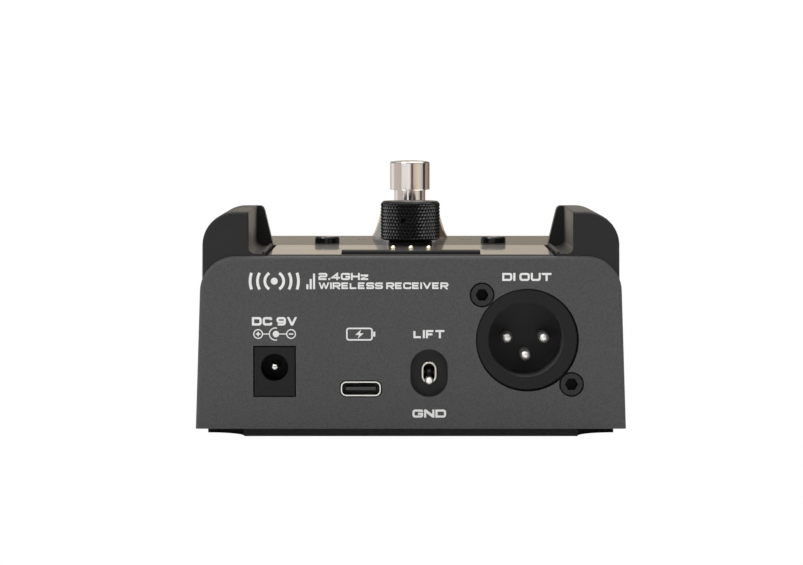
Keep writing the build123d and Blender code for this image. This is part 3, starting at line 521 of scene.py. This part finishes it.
flat_row(4.3, 44.6)
flat_row(4.3, kz0 + 0.05)
flat_row(4.45, kz0)
flat_row(KR - 0.75, kz0)
flat_row(KR - 0.42, kz0 + 0.25)
NZ = 84
zk0, zk1 = kz0 + 0.42, kz1 - 0.62
for i in range(NZ + 1):
    rows.append(("knurl", KR, zk0 + (zk1 - zk0) * i / NZ))
flat_row(KR - 0.34, kz1 - 0.36)
flat_row(KR - 0.52, kz1 - 0.12)
flat_row(KR - 0.75, kz1)
flat_row(KR - 1.6, kz1)
flat_row(KR - 1.68, kz1 - 0.05)
flat_row(KR - 1.78, kz1 - 0.05)
flat_row(KR - 1.86, kz1)
flat_row(2.0, kz1)
verts, faces = [], []
PITCH = (zk1 - zk0) / 5.25
for kind, r, z in rows:
    for j in range(COLS):
        a = 2 * math.pi * j / COLS
        rr = r
        if kind == "knurl":
            u, v = a * NA / (2 * math.pi), (z - zk0) / PITCH
            tri_p = 1 - abs(2 * ((u + v) % 1.0) - 1)
            tri_q = 1 - abs(2 * ((u - v) % 1.0) - 1)
            h = min(tri_p, tri_q)
            fade = min(1.0, (z - zk0) / 0.3 + 0.5, (zk1 - z) / 0.3 + 0.5)
            rr = r - 0.40 * (1 - h) * fade
            # the set screw's hole
            da = (a - HOLE_A + math.pi) % (2 * math.pi) - math.pi
            d = math.hypot(r * da, z - HOLE_Z)
            if d < 0.58:
                rr = 4.2
            elif d < 0.72:
                rr = min(rr, r - 0.25)
        verts.append((kx + rr * math.cos(a), ky + rr * math.sin(a), z))
n_rows = len(rows)
for i in range(n_rows - 1):
    for j in range(COLS):
        k = (j + 1) % COLS
        faces.append((i * COLS + j, i * COLS + k, (i + 1) * COLS + k, (i + 1) * COLS + j))
base = len(verts)
verts.append((kx, ky, kz1))
for j in range(COLS):
    faces.append(((n_rows - 1) * COLS + j, (n_rows - 1) * COLS + (j + 1) % COLS, base))
base = len(verts)
verts.append((kx, ky, 44.6))
for j in range(COLS):
    faces.append(((j + 1) % COLS, j, base))
knob = mesh_object("knurled_knob", verts, faces, "knob_black", "level_knob")
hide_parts("level_knob")

# ------------------------------------------------------------------ footswitch return spring: a coil with closed ends
slo, shi = [[v / MM for v in c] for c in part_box("footswitch_spring")]
scx, scy = (slo[0] + shi[0]) / 2, (slo[1] + shi[1]) / 2
WIRE = 0.25
COIL_R = (shi[0] - slo[0]) / 2 - WIRE
S_STEPS, S_SIDES, S_TURNS = 32, 12, 7
rise = (shi[2] - slo[2]) - 2 * WIRE
END_RISE = 0.58
verts, faces = [], []
for i in range(S_STEPS * S_TURNS + 1):
    t = i / S_STEPS
    if t < 1:
        z = END_RISE * t
    elif t > S_TURNS - 1:
        z = rise - END_RISE * (S_TURNS - t)
    else:
        z = END_RISE + (rise - 2 * END_RISE) * (t - 1) / (S_TURNS - 2)
    a = 2 * math.pi * t
    for k in range(S_SIDES):
        b = 2 * math.pi * k / S_SIDES
        r = COIL_R + WIRE * math.cos(b)
        verts.append((scx + r * math.cos(a), scy + r * math.sin(a), slo[2] + WIRE + z + WIRE * math.sin(b)))
for i in range(S_STEPS * S_TURNS):
    for k in range(S_SIDES):
        j = (k + 1) % S_SIDES
        faces.append((i * S_SIDES + k, (i + 1) * S_SIDES + k, (i + 1) * S_SIDES + j, i * S_SIDES + j))
faces.append(tuple(range(S_SIDES)))
faces.append(tuple(reversed(range(S_STEPS * S_TURNS * S_SIDES, (S_STEPS * S_TURNS + 1) * S_SIDES))))
spring = mesh_object("return_spring", verts, faces, "spring_steel", "housing", smooth=True)
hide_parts("footswitch_spring")
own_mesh(spring)

# ------------------------------------------------------------------ floor
me = bpy.data.meshes.new("floor")
N, RAD = 96, 9.0
fv = [(0, 0, 0)] + [(RAD * math.cos(2 * math.pi * k / N), RAD * math.sin(2 * math.pi * k / N), 0) for k in range(N)]
me.from_pydata(fv, [], [(0, 1 + k, 1 + (k + 1) % N) for k in range(N)])
floor = bpy.data.objects.new("floor", me)
scene.collection.objects.link(floor)
fm = bpy.data.materials.new("floor_paper")
fm.use_nodes = True
ft = fm.node_tree
fb = ft.nodes["Principled BSDF"]
fb.inputs["Base Color"].default_value = (0.90, 0.90, 0.90, 1)
fb.inputs["Roughness"].default_value = 0.9
fb.inputs["Specular IOR Level"].default_value = 0.1
fe = ft.nodes.new("ShaderNodeEmission")
fe.inputs["Color"].default_value = (1, 1, 1, 1)
fe.inputs["Strength"].default_value = 1.0
fmix = ft.nodes.new("ShaderNodeMixShader")
fc = ft.nodes.new("ShaderNodeTexCoord")
fl = ft.nodes.new("ShaderNodeVectorMath")
fl.operation = "LENGTH"
fr = ft.nodes.new("ShaderNodeMapRange")
fr.interpolation_type = "SMOOTHERSTEP"
fr.inputs["From Min"].default_value = 0.12
fr.inputs["From Max"].default_value = 0.55
ft.links.new(fc.outputs["Object"], fl.inputs[0])
ft.links.new(fl.outputs["Value"], fr.inputs["Value"])
flp = ft.nodes.new("ShaderNodeLightPath")
fmax = ft.nodes.new("ShaderNodeMath")
fmax.operation = "MAXIMUM"
ft.links.new(fr.outputs["Result"], fmax.inputs[0])
ft.links.new(flp.outputs["Is Camera Ray"], fmax.inputs[1])
ft.links.new(fmax.outputs[0], fmix.inputs["Fac"])
ft.links.new(fb.outputs[0], fmix.inputs[1])
ft.links.new(fe.outputs[0], fmix.inputs[2])
ft.links.new(fmix.outputs[0], ft.nodes["Material Output"].inputs["Surface"])
me.materials.append(fm)

# ------------------------------------------------------------------ ring of studio cards, seen only in reflections
def srgb(v):
    return v / 12.92 if v <= 0.04045 else ((v + 0.055) / 1.055) ** 2.4


RING = [(0.00, .78, .74, .71), (0.05, .78, .74, .71), (0.10, .76, .72, .69), (0.12, .95, .94, .93), (0.20, .95, .95, .95), (0.24, 1.0, .98, .97), (0.262, .86, .80, .77),
        (0.278, .34, .28, .24), (0.298, .34, .28, .24), (0.315, .80, .75, .72), (0.36, .87, .80, .75), (0.40, .90, .86, .76), (0.44, .84, .82, .81), (0.475, .72, .70, .69),
        (0.49, .16, .14, .12), (0.525, .16, .14, .12), (0.545, .66, .62, .60), (0.60, .60, .54, .47), (0.65, .42, .37, .30), (0.70, .72, .67, .60), (0.745, .79, .735, .665),
        (0.775, .88, .83, .755), (0.82, .80, .78, .76), (0.86, .78, .77, .76), (0.90, .95, .94, .93), (0.94, .93, .92, .92), (0.965, .80, .76, .74), (1.0, .78, .74, .71)]
RN, RR, RH = 288, 1.0, 0.13
rv, rf = [], []
for k in range(RN):
    a = 2 * math.pi * k / RN
    rv += [(RR * math.cos(a), RR * math.sin(a), 0.0005), (RR * math.cos(a), RR * math.sin(a), RH)]
for k in range(RN):
    j = (k + 1) % RN
    rf.append((2 * k, 2 * j, 2 * j + 1, 2 * k + 1))
rme = bpy.data.meshes.new("card_ring")
rme.from_pydata(rv, [], rf)
ring = bpy.data.objects.new("card_ring", rme)
scene.collection.objects.link(ring)
rm = bpy.data.materials.new("card_ring_light")
rm.use_nodes = True
rt = rm.node_tree
rt.nodes.clear()
ro = rt.nodes.new("ShaderNodeOutputMaterial")
re_ = rt.nodes.new("ShaderNodeEmission")
rc = rt.nodes.new("ShaderNodeTexCoord")
rs = rt.nodes.new("ShaderNodeSeparateXYZ")
ra = rt.nodes.new("ShaderNodeMath")
ra.operation = "ARCTAN2"
rmap = rt.nodes.new("ShaderNodeMapRange")
rmap.inputs["From Min"].default_value = -math.pi
rmap.inputs["From Max"].default_value = math.pi
rr_ = rt.nodes.new("ShaderNodeValToRGB")
while len(rr_.color_ramp.elements) < len(RING):
    rr_.color_ramp.elements.new(0.5)
for e, (pos, *c) in zip(rr_.color_ramp.elements, RING):
    e.position = pos
    e.color = (*[srgb(v) for v in c], 1)
rt.links.new(rc.outputs["Object"], rs.inputs[0])
rt.links.new(rs.outputs["Y"], ra.inputs[0])
rt.links.new(rs.outputs["X"], ra.inputs[1])
rt.links.new(ra.outputs[0], rmap.inputs["Value"])
rt.links.new(rmap.outputs[0], rr_.inputs["Fac"])
rt.links.new(rr_.outputs["Color"], re_.inputs["Color"])
re_.inputs["Strength"].default_value = 1.25
rt.links.new(re_.outputs[0], ro.inputs["Surface"])
rme.materials.append(rm)
ring.visible_camera = False
ring.visible_diffuse = False
ring.visible_shadow = False
ring.visible_transmission = False
ring.visible_volume_scatter = False

# two high cards, seen only in the flare of the chrome skirt
def high_card(name, a0, a1, e0, e1, color, radius=0.95):
    n, v, f = 24, [], []
    for k in range(n + 1):
        a = math.radians(a0 + (a1 - a0) * k / n)
        for e in (math.radians(e0), math.radians(e1)):
            v.append((radius * math.cos(e) * math.cos(a), radius * math.cos(e) * math.sin(a), 0.045 + radius * math.sin(e)))
    for k in range(n):
        f.append((2 * k, 2 * k + 2, 2 * k + 3, 2 * k + 1))
    cm = bpy.data.meshes.new(name)
    cm.from_pydata(v, [], f)
    o = bpy.data.objects.new(name, cm)
    scene.collection.objects.link(o)
    m = bpy.data.materials.new(name + "_light")
    m.use_nodes = True
    t = m.node_tree
    t.nodes.clear()
    mo = t.nodes.new("ShaderNodeOutputMaterial")
    em = t.nodes.new("ShaderNodeEmission")
    em.inputs["Color"].default_value = (*color, 1)
    em.inputs["Strength"].default_value = 1.0
    t.links.new(em.outputs[0], mo.inputs["Surface"])
    cm.materials.append(m)
    o.visible_camera = False
    o.visible_diffuse = False
    o.visible_shadow = False
    o.visible_transmission = False
    o.visible_volume_scatter = False


high_card("card_right", 4, 68, 9, 40, (0.10, 0.072, 0.052))
high_card("card_left", 117, 176, 9, 40, (0.40, 0.40, 0.395))
high_card("card_left_edge", 99, 112, 9, 40, (0.06, 0.06, 0.06))

# ------------------------------------------------------------------ world: soft studio surround
world = bpy.data.worlds.new("studio")
scene.world = world
world.use_nodes = True
nt = world.node_tree
nt.nodes.clear()
out = nt.nodes.new("ShaderNodeOutputWorld")
bg_cam = nt.nodes.new("ShaderNodeBackground")
bg_cam.inputs["Color"].default_value = (1, 1, 1, 1)
bg_env = nt.nodes.new("ShaderNodeBackground")
mix = nt.nodes.new("ShaderNodeMixShader")
lp = nt.nodes.new("ShaderNodeLightPath")
nt.links.new(lp.outputs["Is Camera Ray"], mix.inputs["Fac"])
nt.links.new(bg_env.outputs[0], mix.inputs[1])
nt.links.new(bg_cam.outputs[0], mix.inputs[2])
nt.links.new(mix.outputs[0], out.inputs["Surface"])
tc = nt.nodes.new("ShaderNodeTexCoord")
sep = nt.nodes.new("ShaderNodeSeparateXYZ")
nt.links.new(tc.outputs["Generated"], sep.inputs[0])
# azimuth around Z, 0 at +X, as a fraction of a turn
at = nt.nodes.new("ShaderNodeMath")
at.operation = "ARCTAN2"
nt.links.new(sep.outputs["Y"], at.inputs[0])
nt.links.new(sep.outputs["X"], at.inputs[1])
az = nt.nodes.new("ShaderNodeMapRange")
az.inputs["From Min"].default_value = -math.pi
az.inputs["From Max"].default_value = math.pi
nt.links.new(at.outputs[0], az.inputs["Value"])
# bands around the horizon: fraction 0.25 is -Y (towards the camera side), 0.75 is +Y
bands = nt.nodes.new("ShaderNodeValToRGB")
cr = bands.color_ramp
cr.interpolation = "EASE"
stops = [(0.00, (0.70, 0.69, 0.68)), (0.12, (0.30, 0.30, 0.30)), (0.25, (0.24, 0.24, 0.24)), (0.38, (0.30, 0.30, 0.30)), (0.50, (0.60, 0.59, 0.58)), (0.65, (0.50, 0.44, 0.37)),
         (0.75, (0.55, 0.49, 0.41)), (0.80, (0.66, 0.60, 0.51)), (0.92, (0.66, 0.63, 0.58))]
while len(cr.elements) < len(stops):
    cr.elements.new(0.5)
for e, (pos, c) in zip(cr.elements, stops):
    e.position = pos
    e.color = (*c, 1)
nt.links.new(az.outputs[0], bands.inputs["Fac"])
# overhead it is plain soft white
el = nt.nodes.new("ShaderNodeMapRange")
el.inputs["From Min"].default_value = 0.30
el.inputs["From Max"].default_value = 0.75
nt.links.new(sep.outputs["Z"], el.inputs["Value"])
top = nt.nodes.new("ShaderNodeMix")
top.data_type = "RGBA"
nt.links.new(el.outputs[0], top.inputs["Factor"])
nt.links.new(bands.outputs["Color"], top.inputs[6])
top.inputs[7].default_value = (1.0, 1.0, 1.0, 1)
nt.links.new(top.outputs[2], bg_env.inputs["Color"])
bg_env.inputs["Strength"].default_value = 0.95


def area(name, loc, target, size, power, color=(1, 1, 1)):
    li = bpy.data.lights.new(name, "AREA")
    li.shape = "RECTANGLE"
    li.size, li.size_y = size
    li.energy = power
    li.color = color
    o = bpy.data.objects.new(name, li)
    scene.collection.objects.link(o)
    o.location = loc
    d = Vector(target) - Vector(loc)
    o.rotation_euler = d.to_track_quat("-Z", "Y").to_euler()
    return o


area("key", (-0.75, -0.75, 0.95), (0, 0, 0.03), (0.6, 0.6), 6.0)
area("top_fill", (0.2, 0.3, 1.3), (0, 0, 0.03), (1.2, 1.2), 12.0)
strip = area("front_strip", (0.0, -1.10, 0.98), (0, 0, 0.04), (1.6, 0.14), 5.0)
strip.visible_diffuse = False

# ------------------------------------------------------------------ camera
cam = bpy.data.cameras.new("camera")
cam.sensor_width = 36.0
cam.lens = 3315.0 / IMG_W * 36.0
cam.clip_start, cam.clip_end = 0.01, 50.0
co = bpy.data.objects.new("camera", cam)
scene.collection.objects.link(co)
co.location = (-2.1 * MM, -799.0 * MM, 73.84 * MM)
co.rotation_euler = (math.radians(90 - 3.034), 0, 0)
scene.camera = co
scene.view_settings.view_transform = "Standard"
scene.view_settings.look = "None"
